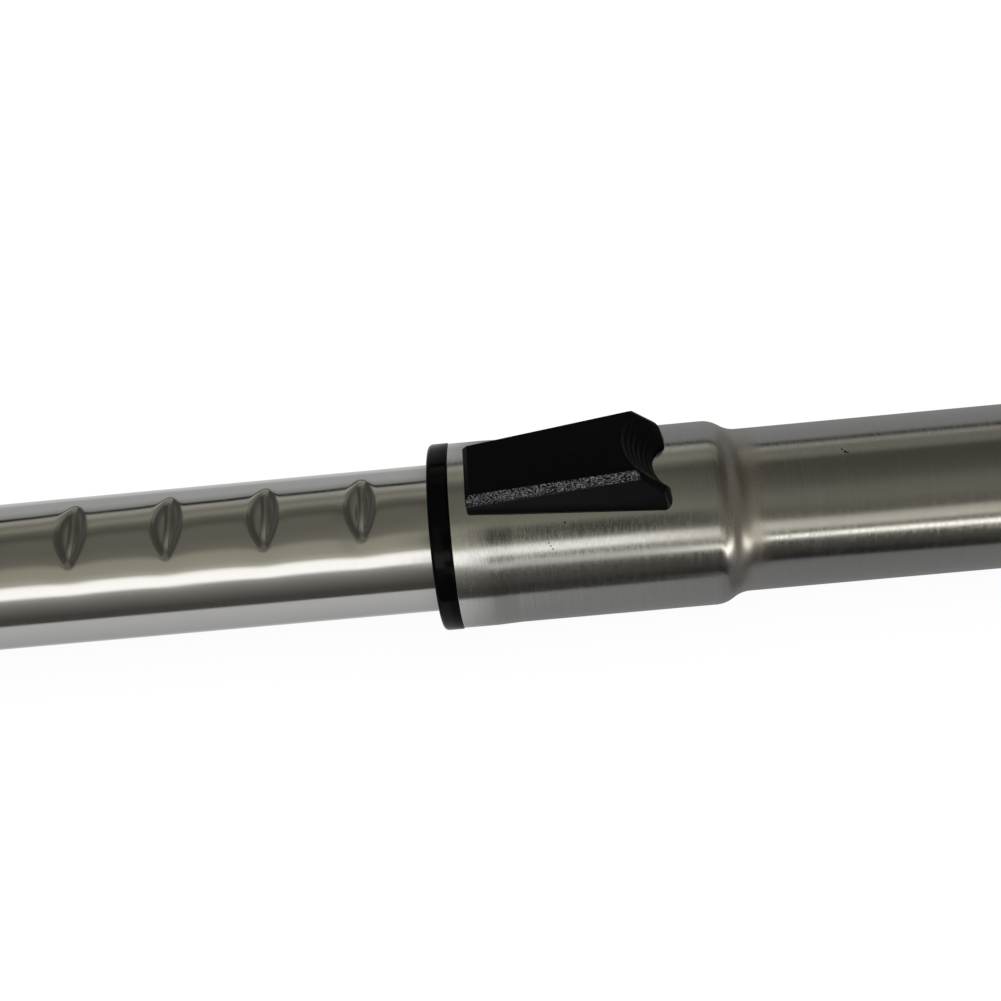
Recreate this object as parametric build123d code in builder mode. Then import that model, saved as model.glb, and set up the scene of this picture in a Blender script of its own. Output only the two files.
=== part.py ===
from build123d import *
import math
import os

os.makedirs("parts", exist_ok=True)

# Telescopic vacuum wand, lying along X with its button up. Millimetres.
# The origin is on the tubes' axis, in the mouth of the handle socket. The outer tube runs
# from there towards -X, and the inner tube comes out of its expanded end. The wand is
# locked in a notch, pulled out part of the way. Lengths named "from the mouth" are
# measured towards +X from the edge of the expanded end.

# Tubes
tube_wall = 0.8
inner_radius = 15.9
outer_radius = 17.5
collar_radius = 19.85
mouth_radius = 20.05
mouth_run = 8.0
mouth_slope_run = 3.5
edge_break = 0.3
swage_start = 56.3
swage_run = 3.6
swage_radius = 6.5
socket_depth = 50.0
bead_run = 5.0
bead_depth = 0.7
bead_slope_run = 1.4
spigot_length = 45.0
closed_exposure = 60.0

# Row of notches that the lock falls into
notch_pitch = 20.55
steps_in = 6
steps_out = 12
notch_depth = 2.25
notch_slope = 45.0
notch_bottom_radius = 1.3
notch_shoulder_radius = 1.6
notch_shoulder_lift = 0.05
notch_reach = 5.5
notch_wall = 0.57
lock_from_mouth = 22.5

# Guide sleeve with its flange, the black ring
flange_thickness = 4.3
flange_radius = 20.25
flange_bevel = 0.9
seat_clearance = 0.05
guide_clearance = 0.1
sleeve_length = 53.0
sleeve_lead_in = 1.0
land_length = 11.0
land_relief = 0.4
mouth_lead_in = 0.5
seal_width = 2.2
seal_height = 1.4
seal_clearance = 0.05
wiper_from_mouth = -1.6
felt_from_mouth = 47.5
felt_width = 3.6
felt_height = 1.6

# Brake spring under the inner tube
brake_length = 26.0
brake_width = 8.0
brake_thickness = 0.5
brake_side_room = 1.0
brake_pocket_depth = 2.2
brake_from_mouth = 31.0
brake_clearance = 0.1

# Lock: a roller on a pin, in a cage, moved by the slotted cheeks of a steel slide
roller_radius = 3.0
roller_half_length = 3.2
pin_radius = 1.2
pin_half_length = 5.8
pin_chamfer = 0.3
pin_fit = 0.05
slot_clearance = 0.1
lock_clearance = 0.1
slide_travel = 3.3
lift_clearance = 0.25
cage_side = 1.0
cage_gap = 0.15
cage_float = 0.25
cage_rise = 0.25
cage_wall = 1.2
cage_fit = 0.05
tongue_length = 2.0
tongue_thickness = 1.2
window_start = 11.0
window_half = 6.0
window_corner = 1.0
window_gap = 0.3
sleeve_window_half = 7.2
cheek_thickness = 0.8
cheek_gap = 0.1
cheek_front = 4.0
cheek_length = 18.5
cheek_bottom_gap = 0.3
cheek_corner = 1.5
roof_thickness = 0.8
roof_gap = 0.55
tab_from_window = 8.3
tab_gap = 0.2
ear_length = 3.0
ear_inset = 1.0
ear_reach = 1.5
ear_height = 1.0
ear_gap = 0.3

# Return springs
spring_radius = 1.5
spring_wire = 0.35
spring_turns = 5
spring_offset = 2.6
spring_end_gap = 0.05
spring_pin_radius = 0.8
spring_pin_length = 1.8
spring_floor_gap = 0.1

# Button
button_front = 3.2
button_rear = 45.5
button_taper = 0.0525
button_base_half = 7.05
shoulder_taper = 0.0324
shoulder_half = 6.95
top_rise = 0.165
top_front_z = 24.3
bevel_width = 1.2
bevel_drop = 1.25
button_base_z = 17.6
button_front_bevel = 0.6
button_wall = 1.5
button_gap = 0.25
horn_start = 39.2
horn_tip = 44.7
horn_tip_z = 24.0
horn_tip_radius = 1.0
horn_base_radius = 2.2
scoop_top_z = 30.0
scoop_top_radius = 10.5
scoop_top_waist = 35.9
scoop_base_z = 19.5
scoop_base_radius = 6.5
scoop_base_waist = 42.8
scoop_rib_count = 5
scoop_rib_radius = 0.35
scoop_rib_half = 5.0
scoop_margin = 2.0
scoop_rib_first_z = 28.6
scoop_rib_step = 1.55
stake_radius = 0.95
stake_boss_radius = 1.7
stake_fit = 0.05
stake_inset = 3.0
groove_count = 4
groove_first = 12.8
groove_step = 5.3
groove_side = -1.0
groove_length = 4.2
groove_width = 0.35
groove_depth = 0.2
groove_angle = -38.0

# Guide collar and seal on the inner tube's hidden end
collar_length = 35.0
collar_running = 0.1
collar_seat = 0.05
collar_split = 0.4
peg_radius = 2.0
peg_fit = 0.05
peg_inset = 0.05
stop_gap = 2.0
tail_seal_length = 3.0
tail_lip = 1.0

# Places worked out from the sizes above
inner_bore = inner_radius - tube_wall
collar_bore = collar_radius - tube_wall
outer_bore = outer_radius - tube_wall
travel_in = steps_in * notch_pitch
travel_out = steps_out * notch_pitch
tail_length = collar_length + tail_seal_length
outer_length = (
    sleeve_length + travel_in + travel_out + 2 * stop_gap + tail_length + bead_run + socket_depth
)
mouth_x = -outer_length
lower_end_x = mouth_x - flange_thickness - closed_exposure - travel_in
collar_x = mouth_x + sleeve_length + travel_out + stop_gap
tail_end_x = collar_x + tail_length
lock_x = mouth_x + lock_from_mouth

half_slope = math.radians(notch_slope)
notch_bottom_z = inner_radius - notch_depth
notch_apex_z = notch_bottom_z + notch_bottom_radius * (1 - 1 / math.cos(half_slope))
notch_top_z = inner_radius + notch_shoulder_lift
pin_z = notch_apex_z + (roller_radius + lock_clearance) / math.cos(half_slope)
roller_lift = inner_radius + lift_clearance + roller_radius - pin_z

cage_half = roller_half_length + cage_gap + cage_side
cheek_inner = cage_half + cheek_gap
cheek_outer = cheek_inner + cheek_thickness
cheek_start = window_start + cheek_front
cheek_end = cheek_start + cheek_length
window_end = cheek_end + window_gap
cage_top_z = mouth_radius + cage_rise
cheek_bottom_z = math.sqrt(inner_radius**2 - cheek_inner**2) + cheek_bottom_gap
roof_z = pin_z + roller_lift + roller_radius + roof_gap
spring_z = cage_top_z + spring_floor_gap + spring_radius
tab_start = window_start + tab_from_window
ear_outer = cheek_outer + ear_reach
ear_top_z = math.sqrt(collar_bore**2 - ear_outer**2) - ear_gap
sleeve_outer = collar_bore - seat_clearance
sleeve_inner = inner_radius + guide_clearance


def ring_body(inside, outside, start, length):
    """Plain ring round the wand's axis, from start along +X."""
    with BuildPart() as ring:
        with BuildSketch(Plane.YZ.offset(start)):
            Circle(outside)
            Circle(inside, mode=Mode.SUBTRACT)
        extrude(amount=length)
    return ring.part


def round_bar(radius, start, length):
    """Solid round bar on the wand's axis, from start along +X."""
    with BuildPart() as bar:
        with BuildSketch(Plane.YZ.offset(start)):
            Circle(radius)
        extrude(amount=length)
    return bar.part


# Outer tube: expanded at the mouth, widest at its edge, and drawn down in a soft step. A
# rolled bead near the handle end stops the handle and the inner tube
bead_end_x = -socket_depth
bead_start_x = bead_end_x - bead_run

with BuildPart() as outer_tube:
    with BuildSketch(Plane.XZ):
        with BuildLine():
            FilletPolyline(
                (mouth_x, mouth_radius),
                (mouth_x + mouth_run, mouth_radius),
                (mouth_x + mouth_run + mouth_slope_run, collar_radius),
                (mouth_x + swage_start, collar_radius),
                (mouth_x + swage_start + swage_run, outer_radius),
                (bead_start_x, outer_radius),
                radius=swage_radius,
            )
            Polyline(
                (bead_start_x, outer_radius),
                (bead_start_x + bead_slope_run, outer_radius - bead_depth),
                (bead_end_x - bead_slope_run, outer_radius - bead_depth),
                (bead_end_x, outer_radius),
                (0, outer_radius),
            )
            offset(amount=tube_wall, kind=Kind.INTERSECTION, side=Side.RIGHT)
        make_face()
    revolve(axis=Axis.X)
    rims = outer_tube.edges().filter_by(GeomType.CIRCLE).group_by(Axis.X)
    chamfer(rims[0].sort_by(SortBy.RADIUS)[-1], length=edge_break)
    chamfer(rims[-1].sort_by(SortBy.RADIUS)[-1], length=edge_break)
    with BuildSketch(Plane.XY.offset(outer_bore / 2)):
        with Locations((mouth_x + (window_start + window_end) / 2, 0)):
            RectangleRounded(window_end - window_start, 2 * window_half, window_corner)
    extrude(amount=collar_radius, mode=Mode.SUBTRACT)

outer_tube.part.label = "outer_tube"
export_step(outer_tube.part, "parts/outer_tube.step")


# Guide sleeve: one moulding with the black ring that covers the tube's edge. It runs on
# two lands, one at each end, and is cut open on top for the lock
with BuildPart() as guide_sleeve:
    with BuildSketch(Plane.XZ):
        with BuildLine():
            Polyline(
                (mouth_x - flange_thickness, sleeve_inner + mouth_lead_in),
                (mouth_x - flange_thickness, flange_radius - flange_bevel),
                (mouth_x - flange_thickness + flange_bevel, flange_radius),
                (mouth_x, flange_radius),
                (mouth_x, sleeve_outer),
                (mouth_x + sleeve_length - sleeve_lead_in, sleeve_outer),
                (mouth_x + sleeve_length, sleeve_outer - sleeve_lead_in),
                (mouth_x + sleeve_length, sleeve_inner),
                (mouth_x + sleeve_length - land_length, sleeve_inner),
                (mouth_x + sleeve_length - land_length, sleeve_inner + land_relief),
                (mouth_x + land_length - flange_thickness, sleeve_inner + land_relief),
                (mouth_x + land_length - flange_thickness, sleeve_inner),
                (mouth_x - flange_thickness + mouth_lead_in, sleeve_inner),
                close=True,
            )
        make_face()
    revolve(axis=Axis.X)
    bevel_edges = guide_sleeve.edges().filter_by(GeomType.CIRCLE).group_by(SortBy.RADIUS)[-1]
    fillet(bevel_edges.sort_by(Axis.X)[0], radius=flange_bevel)
    with BuildSketch(Plane.XY.offset(outer_bore / 2)):
        with Locations((mouth_x + (window_start + window_end) / 2, 0)):
            Rectangle(window_end - window_start, 2 * sleeve_window_half)
    extrude(amount=collar_radius, mode=Mode.SUBTRACT)
    # Grooves for the wiper in the ring and the felt at the inner end
    add(
        ring_body(
            sleeve_inner - guide_clearance,
            inner_radius + seal_clearance + seal_height,
            mouth_x + wiper_from_mouth - seal_width / 2,
            seal_width,
        ),
        mode=Mode.SUBTRACT,
    )
    add(
        ring_body(
            sleeve_inner - guide_clearance,
            inner_radius + seal_clearance + felt_height,
            mouth_x + felt_from_mouth - felt_width / 2,
            felt_width,
        ),
        mode=Mode.SUBTRACT,
    )
    # Pocket for the brake spring, under the inner tube
    with BuildSketch(Plane.XY.offset(-inner_bore)):
        with Locations((mouth_x + brake_from_mouth, 0)):
            Rectangle(brake_length + brake_side_room, brake_width + brake_side_room)
    extrude(amount=inner_bore - sleeve_inner - brake_pocket_depth, mode=Mode.SUBTRACT)
    # Slot in the window's front edge that the cage's tongue hooks into
    with BuildSketch(Plane.YZ.offset(mouth_x + window_start - tongue_length)):
        with Locations((0, sleeve_outer - tongue_thickness / 2)):
            Rectangle(2 * cage_half, tongue_thickness + seat_clearance)
    extrude(amount=tongue_length, mode=Mode.SUBTRACT)

guide_sleeve.part.label = "guide_sleeve"
export_step(guide_sleeve.part, "parts/guide_sleeve.step")


# Wiper ring, set into the black ring, and felt seal at the sleeve's inner end
seal_inner = inner_radius + seal_clearance

with BuildPart() as wiper_ring:
    add(
        ring_body(
            seal_inner,
            seal_inner + seal_height - seat_clearance,
            mouth_x + wiper_from_mouth - seal_width / 2 + seat_clearance,
            seal_width - 2 * seat_clearance,
        )
    )

wiper_ring.part.label = "wiper_ring"
export_step(wiper_ring.part, "parts/wiper_ring.step")

with BuildPart() as felt_seal:
    add(
        ring_body(
            seal_inner,
            seal_inner + felt_height - seat_clearance,
            mouth_x + felt_from_mouth - felt_width / 2 + seat_clearance,
            felt_width - 2 * seat_clearance,
        )
    )

felt_seal.part.label = "felt_seal"
export_step(felt_seal.part, "parts/felt_seal.step")


# Brake spring: a bowed steel strip whose ends stand in the sleeve's pocket
brake_crown_z = -inner_radius - brake_clearance
brake_foot_z = -sleeve_inner - brake_pocket_depth + seat_clearance

with BuildPart() as brake_spring:
    with BuildSketch(Plane.XZ.offset(-brake_width / 2)):
        with BuildLine():
            ThreePointArc(
                (mouth_x + brake_from_mouth - brake_length / 2, brake_foot_z),
                (mouth_x + brake_from_mouth, brake_crown_z - brake_thickness),
                (mouth_x + brake_from_mouth + brake_length / 2, brake_foot_z),
            )
            offset(amount=brake_thickness, side=Side.LEFT)
        make_face()
    extrude(amount=brake_width)

brake_spring.part.label = "brake_spring"
export_step(brake_spring.part, "parts/brake_spring.step")


# Roller cage: fills the middle of the window and holds the roller upright. Its tongue
# hooks under the tube, and its front wall carries the two springs
cage_start_x = mouth_x + window_start + cage_fit
cage_end_x = mouth_x + window_end - cage_fit
wall_end_x = cage_start_x + cage_wall
wall_top_z = spring_z + spring_radius

with BuildPart() as cage_tongue:
    with BuildSketch(Plane.XY.offset(sleeve_outer - tongue_thickness)):
        with Locations((cage_start_x - tongue_length / 2 + cage_fit, 0)):
            Rectangle(tongue_length, 2 * (cage_half - cage_gap))
    extrude(amount=tongue_thickness)
    add(round_bar(sleeve_outer, mouth_x, sleeve_length), mode=Mode.INTERSECT)

with BuildPart() as roller_cage:
    with BuildSketch(Plane.XY.offset(outer_bore / 2)):
        with Locations(((cage_start_x + cage_end_x) / 2, 0)):
            Rectangle(cage_end_x - cage_start_x, 2 * cage_half)
    extrude(amount=cage_top_z - outer_bore / 2)
    add(cage_tongue.part)
    with BuildSketch(Plane.XY.offset(cage_top_z)):
        with Locations((cage_start_x + cage_wall / 2, 0)):
            Rectangle(cage_wall, 2 * (cage_half - cage_gap))
    extrude(amount=wall_top_z - cage_top_z)
    with BuildSketch(Plane.YZ.offset(wall_end_x)):
        with Locations((-spring_offset, spring_z), (spring_offset, spring_z)):
            Circle(spring_pin_radius)
    extrude(amount=spring_pin_length)
    # Well for the roller, with a guide slot in each side for the pin
    with BuildSketch(Plane.XY):
        with Locations((lock_x, 0)):
            Rectangle(2 * (roller_radius + lock_clearance), 2 * (cage_half - cage_side))
    extrude(amount=cage_top_z, mode=Mode.SUBTRACT)
    with BuildSketch(Plane.XZ):
        with Locations((lock_x, pin_z)):
            Circle(pin_radius + lock_clearance)
        with Locations((lock_x, (pin_z + cage_top_z) / 2)):
            Rectangle(2 * (pin_radius + lock_clearance), cage_top_z - pin_z)
    extrude(amount=2 * cage_half, both=True, mode=Mode.SUBTRACT)
    add(
        round_bar(inner_radius + cage_float, mouth_x, sleeve_length),
        mode=Mode.SUBTRACT,
    )

roller_cage.part.label = "roller_cage"
export_step(roller_cage.part, "parts/roller_cage.step")


# Lock roller and the pin that it turns on
with BuildPart() as lock_roller:
    with BuildSketch(Plane.XZ.offset(-roller_half_length)):
        with Locations((lock_x, pin_z)):
            Circle(roller_radius)
            Circle(pin_radius + pin_fit, mode=Mode.SUBTRACT)
    extrude(amount=2 * roller_half_length)

lock_roller.part.label = "lock_roller"
export_step(lock_roller.part, "parts/lock_roller.step")

with BuildPart() as lock_pin:
    with BuildSketch(Plane.XZ.offset(-pin_half_length)):
        with Locations((lock_x, pin_z)):
            Circle(pin_radius)
    extrude(amount=2 * pin_half_length)
    chamfer(lock_pin.edges().filter_by(GeomType.CIRCLE), length=pin_chamfer)

lock_pin.part.label = "lock_pin"
export_step(lock_pin.part, "parts/lock_pin.step")


# Lock slide: a bent steel channel. The slanted slots in its cheeks lift the pin as it
# moves, and its ears run under the edges of the tube's window
cheek_start_x = mouth_x + cheek_start
cheek_end_x = mouth_x + cheek_end
tab_x = mouth_x + tab_start
roof_top_z = roof_z + roof_thickness
cheek_height = roof_top_z - cheek_bottom_z
slot_angle = math.degrees(math.atan2(roller_lift, slide_travel))
stake_x = (
    tab_x + stake_inset,
    cheek_end_x - stake_inset,
)

with BuildPart() as lock_slide:
    with BuildSketch(Plane.XZ.offset(-cheek_outer)):
        with Locations(((cheek_start_x + cheek_end_x) / 2, cheek_bottom_z + cheek_height / 2)):
            RectangleRounded(cheek_end_x - cheek_start_x, cheek_height, cheek_corner)
    extrude(amount=cheek_thickness)
    mirror(about=Plane.XZ)
    with BuildSketch(Plane.XY.offset(roof_z)):
        with Locations(((tab_x + cheek_end_x - cheek_corner) / 2, 0)):
            Rectangle(cheek_end_x - cheek_corner - tab_x, 2 * cheek_inner)
    extrude(amount=roof_thickness)
    with BuildSketch(Plane.XY.offset(cage_top_z + tab_gap)):
        with Locations((tab_x + cheek_thickness / 2, 0)):
            Rectangle(cheek_thickness, 2 * cheek_inner)
    extrude(amount=roof_z - cage_top_z - tab_gap)
    with BuildSketch(Plane.XY.offset(ear_top_z - ear_height)):
        ear_places = (
            cheek_start_x + ear_inset + ear_length / 2,
            cheek_end_x - ear_inset - ear_length / 2,
        )
        with Locations(*[(x, 0) for x in ear_places]):
            Rectangle(ear_length, 2 * ear_outer)
            Rectangle(ear_length, 2 * cheek_inner, mode=Mode.SUBTRACT)
    extrude(amount=ear_height)
    with BuildSketch(Plane.XZ):
        with Locations((lock_x + slide_travel / 2, pin_z + roller_lift / 2)):
            SlotCenterToCenter(
                math.hypot(slide_travel, roller_lift),
                2 * (pin_radius + slot_clearance),
                rotation=slot_angle,
            )
    extrude(amount=2 * cheek_outer, both=True, mode=Mode.SUBTRACT)
    with BuildSketch(Plane.XY.offset(roof_z)):
        with Locations(*[(x, 0) for x in stake_x]):
            Circle(stake_radius + stake_fit)
    extrude(amount=roof_thickness, mode=Mode.SUBTRACT)

lock_slide.part.label = "lock_slide"
export_step(lock_slide.part, "parts/lock_slide.step")


# Return springs between the cage's front wall and the slide's tab
spring_length = tab_x - wall_end_x - 2 * spring_end_gap
spring_helix_radius = spring_radius - spring_wire / 2
spring_pitch = (spring_length - spring_wire) / spring_turns
spring_start_x = wall_end_x + spring_end_gap + spring_wire / 2

for side, name in ((-1, "return_spring_front"), (1, "return_spring_back")):
    with BuildPart() as return_spring:
        with BuildLine() as coil:
            Helix(
                pitch=spring_pitch,
                height=spring_pitch * spring_turns,
                radius=spring_helix_radius,
                center=(spring_start_x, side * spring_offset, spring_z),
                direction=(1, 0, 0),
            )
        with BuildSketch(Plane(origin=coil.line @ 0, z_dir=coil.line % 0)):
            Rectangle(spring_wire, spring_wire)
        sweep(is_frenet=True)
    return_spring.part.label = name
    export_step(return_spring.part, f"parts/{name}.step")


# Button: a hollow wedge on the tube, with a thumb scoop at its high end
def wedge_body(start, end, inset):
    """Tapered wedge between two places from the mouth, set in from the outline by inset."""
    with BuildPart() as wedge:
        for place in (start, end):
            base_half = button_base_half + button_taper * place - inset
            side_half = shoulder_half + shoulder_taper * place - inset
            top_z = top_front_z + top_rise * place - inset
            corner_z = top_z - bevel_drop
            with BuildSketch(Plane.YZ.offset(mouth_x + place)):
                with BuildLine():
                    Polyline(
                        (-base_half, button_base_z),
                        (-side_half, corner_z),
                        (-side_half + bevel_width, top_z),
                        (side_half - bevel_width, top_z),
                        (side_half, corner_z),
                        (base_half, button_base_z),
                        close=True,
                    )
                make_face()
        loft(ruled=True)
    return wedge.part


def scoop_radius(z):
    """Radius of the thumb scoop at a height."""
    share = (z - scoop_base_z) / (scoop_top_z - scoop_base_z)
    return scoop_base_radius + share * (scoop_top_radius - scoop_base_radius)


def scoop_centre(z):
    """Distance from the mouth to the middle of the thumb scoop at a height."""
    share = (z - scoop_base_z) / (scoop_top_z - scoop_base_z)
    waist = scoop_base_waist + share * (scoop_top_waist - scoop_base_waist)
    return waist + scoop_radius(z)


def scoop_body(grow):
    """The slanted cone that the thumb scoop is cut with, grown by a wall."""
    with BuildPart() as cone:
        for z in (button_base_z - scoop_margin, scoop_top_z + scoop_margin):
            with BuildSketch(Plane.XY.offset(z)):
                with Locations((mouth_x + scoop_centre(z), 0)):
                    Circle(scoop_radius(z) + grow)
        loft(ruled=True)
    return cone.part


def scoop_rib(z):
    """One curved rib with a pointed section that follows the thumb scoop at a height."""
    centre_x = mouth_x + scoop_centre(z)
    with BuildPart() as rib:
        with BuildSketch(Plane.XZ):
            with Locations((centre_x - scoop_radius(z), z)):
                Polygon(
                    (-scoop_rib_radius, -scoop_rib_radius),
                    (scoop_rib_radius, 0),
                    (-scoop_rib_radius, scoop_rib_radius),
                    align=None,
                )
        revolve(axis=Axis((centre_x, 0, 0), (0, 0, 1)))
        with BuildSketch(Plane.XY.offset(z - scoop_rib_radius)):
            with Locations((centre_x - scoop_radius(z), 0)):
                Rectangle(scoop_radius(z), 2 * scoop_rib_half)
        extrude(amount=2 * scoop_rib_radius, mode=Mode.INTERSECT)
    return rib.part


top_plane = Plane(
    origin=(mouth_x, 0, top_front_z),
    x_dir=(1, 0, top_rise),
    z_dir=(-top_rise, 0, 1),
)

with BuildPart() as slider_button:
    add(wedge_body(button_front, button_rear, 0))
    front_face = slider_button.faces().sort_by(Axis.X)[0]
    chamfer(front_face.edges().sort_by(Axis.Z)[1:], length=button_front_bevel)
    # Side outline: flat top, horns that fall away at the high end, rounded corners
    with BuildSketch(Plane.XZ) as side_outline:
        with BuildLine():
            Polyline(
                (mouth_x, button_base_z),
                (mouth_x, scoop_top_z + scoop_margin),
                (mouth_x + horn_start, scoop_top_z + scoop_margin),
                (mouth_x + horn_start, top_front_z + top_rise * horn_start),
                (mouth_x + horn_tip, horn_tip_z),
                (mouth_x + button_rear, button_base_z),
                close=True,
            )
        make_face()
        fillet(side_outline.vertices().sort_by(Axis.X)[-1], radius=horn_base_radius)
        horn_corner = side_outline.vertices().sort_by_distance((mouth_x + horn_tip, horn_tip_z))[0]
        fillet(horn_corner, radius=horn_tip_radius)
    extrude(amount=2 * collar_radius, both=True, mode=Mode.INTERSECT)
    add(scoop_body(0), mode=Mode.SUBTRACT)
    # Curved ribs across the scoop
    for k in range(scoop_rib_count):
        rib_z = scoop_rib_first_z - k * scoop_rib_step
        add(scoop_rib(rib_z))
    # Hollow inside, with bosses that are staked through the slide's roof
    hollow = wedge_body(button_front + button_wall, button_rear - button_wall, button_wall)
    add(hollow - scoop_body(button_wall), mode=Mode.SUBTRACT)
    for x in stake_x:
        with BuildSketch(Plane.XY.offset(roof_top_z)):
            with Locations((x, 0)):
                Circle(stake_boss_radius)
        extrude(amount=top_front_z + top_rise * (x - mouth_x) - button_wall / 2 - roof_top_z)
    with BuildSketch(Plane.XY.offset(roof_z)):
        with Locations(*[(x, 0) for x in stake_x]):
            Circle(stake_radius)
    extrude(amount=roof_thickness)
    add(
        round_bar(mouth_radius + button_gap, mouth_x, sleeve_length),
        mode=Mode.SUBTRACT,
    )
    # Row of slanted grip grooves on the top
    with BuildSketch(top_plane):
        for k in range(groove_count):
            with Locations((groove_first + k * groove_step, groove_side)):
                Rectangle(groove_length, groove_width, rotation=groove_angle)
    extrude(amount=-groove_depth, mode=Mode.SUBTRACT)

slider_button.part.label = "slider_button"
export_step(slider_button.part, "parts/slider_button.step")


# Inner tube: a row of notches pressed across its top, and a shallow rolled groove near the
# lower end that a floor head comes up to
def notch_body(grow):
    """Cutting body of the notch under the lock, grown by the pressed wall for its inside."""
    mouth_half = (notch_top_z - notch_apex_z) / math.tan(half_slope)
    with BuildPart() as notch:
        with BuildSketch(Plane.XZ):
            with BuildLine():
                FilletPolyline(
                    (lock_x - notch_reach, notch_top_z),
                    (lock_x - mouth_half, notch_top_z),
                    (lock_x, notch_apex_z),
                    (lock_x + mouth_half, notch_top_z),
                    (lock_x + notch_reach, notch_top_z),
                    radius=[notch_shoulder_radius, notch_bottom_radius, notch_shoulder_radius],
                )
                Polyline(
                    (lock_x + notch_reach, notch_top_z),
                    (lock_x + notch_reach, outer_radius),
                    (lock_x - notch_reach, outer_radius),
                    (lock_x - notch_reach, notch_top_z),
                )
            make_face()
            if grow:
                offset(amount=grow)
        extrude(amount=inner_radius, both=True)
    return notch.part


notch_places = [(k * notch_pitch, 0, 0) for k in range(-steps_in, steps_out + 1)]
notch_pocket = notch_body(notch_wall) & round_bar(
    inner_bore + tube_wall / 2, lock_x - notch_pitch / 2, notch_pitch
)
tube_end_x = tail_end_x - tail_lip
groove_x = lower_end_x + spigot_length

with BuildPart() as inner_tube:
    with BuildSketch(Plane.XZ):
        with BuildLine():
            Polyline(
                (lower_end_x, inner_radius),
                (groove_x, inner_radius),
                (groove_x + bead_slope_run, inner_radius - bead_depth),
                (groove_x + bead_run - bead_slope_run, inner_radius - bead_depth),
                (groove_x + bead_run, inner_radius),
                (tube_end_x, inner_radius),
            )
            offset(amount=tube_wall, kind=Kind.INTERSECTION, side=Side.RIGHT)
        make_face()
    revolve(axis=Axis.X)
    lower_rims = inner_tube.edges().filter_by(GeomType.CIRCLE).group_by(Axis.X)[0]
    chamfer(lower_rims.sort_by(SortBy.RADIUS)[-1], length=edge_break)
    with Locations(*notch_places):
        add(notch_pocket)
    with Locations(*notch_places):
        add(notch_body(0), mode=Mode.SUBTRACT)
    with BuildSketch(Plane.XZ):
        with Locations((collar_x + collar_length / 2, 0)):
            Circle(peg_radius + peg_fit)
    extrude(amount=outer_radius, both=True, mode=Mode.SUBTRACT)

inner_tube.part.label = "inner_tube"
export_step(inner_tube.part, "parts/inner_tube.step")


# Guide collar: two half shells whose pegs snap into the tube. They meet the sleeve when the
# wand is fully out
shell_inner = inner_radius + collar_seat
shell_outer = outer_bore - collar_running
peg_tip = inner_bore + peg_inset

for side, half, name in (
    (-1, Keep.TOP, "collar_half_front"),
    (1, Keep.BOTTOM, "collar_half_back"),
):
    with BuildPart() as collar_half:
        add(ring_body(shell_inner, shell_outer, collar_x, collar_length))
        with BuildSketch(Plane.XZ.offset(-side * peg_tip)):
            with Locations((collar_x + collar_length / 2, 0)):
                Circle(peg_radius)
        extrude(amount=-side * ((shell_inner + shell_outer) / 2 - peg_tip))
        split(bisect_by=Plane.XZ.offset(-side * collar_split / 2), keep=half)
    collar_half.part.label = name
    export_step(collar_half.part, f"parts/{name}.step")


# Soft seal pushed over the tube's hidden end, behind the guide collar
with BuildPart() as tail_seal:
    add(ring_body(shell_inner, shell_outer, collar_x + collar_length, tail_seal_length))
    add(ring_body(inner_bore, shell_outer, tube_end_x, tail_lip))

tail_seal.part.label = "tail_seal"
export_step(tail_seal.part, "parts/tail_seal.step")
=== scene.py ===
import math

import bmesh
import bpy
from mathutils import Matrix, Vector


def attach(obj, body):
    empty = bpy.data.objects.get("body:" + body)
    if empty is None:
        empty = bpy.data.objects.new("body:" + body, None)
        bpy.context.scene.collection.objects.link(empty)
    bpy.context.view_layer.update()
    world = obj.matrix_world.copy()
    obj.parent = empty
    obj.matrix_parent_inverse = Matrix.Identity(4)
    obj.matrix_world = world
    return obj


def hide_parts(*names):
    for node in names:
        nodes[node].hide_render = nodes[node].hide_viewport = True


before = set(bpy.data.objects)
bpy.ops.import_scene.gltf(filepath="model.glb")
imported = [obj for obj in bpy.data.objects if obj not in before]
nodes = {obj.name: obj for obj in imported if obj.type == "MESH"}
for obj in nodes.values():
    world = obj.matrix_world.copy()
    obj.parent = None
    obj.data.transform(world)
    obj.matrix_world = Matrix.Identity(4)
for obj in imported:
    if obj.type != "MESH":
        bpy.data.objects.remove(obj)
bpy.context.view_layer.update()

# Lengths below are in millimetres, in the CAD's frame: the wand lies along X, button up.
MM = 0.001

# Places along X: the outer tube's mouth, the black ring's face and the inner tube's two ends
MOUTH = -519.9
FLANGE = MOUTH - 4.3
LOWER_END = -707.5
TUBE_END = -181.3

# Radii of the tubes, the expanded end and the black ring, and the wall of both tubes
INNER_R = 15.9
OUTER_R = 17.5
COLLAR_R = 19.85
MOUTH_R = 20.05
FLANGE_R = 20.25
WALL = 0.8

# Row of pressed notches: a V with a round bottom, whose flanks rise towards its two ends
LOCK = -497.4
PITCH = 20.55
NOTCHES = [LOCK + k * PITCH for k in range(-6, 13)]
NOTCH_APEX = 13.11
NOTCH_BOTTOM_R = 1.3
NOTCH_BLEND = 1.3
NOTCH_FLANK = (0.0070, 0.00015)
NOTCH_WALL = 0.57
NOTCH_REACH = 6.5

# Shallow dip of the wall round each notch: depth, length along X, and angle in radians
PRESS_DEPTH = 0.42
PRESS_LENGTH = 4.4
PRESS_ANGLE = 0.52

# Window over the lock, holes for the guide shells' pegs, and the rolled grooves' depth
WINDOW = (-508.9, -486.1)
PEG_X = -200.8
PEG_R = 2.05
ROLLED_DEPTH = 0.7

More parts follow.
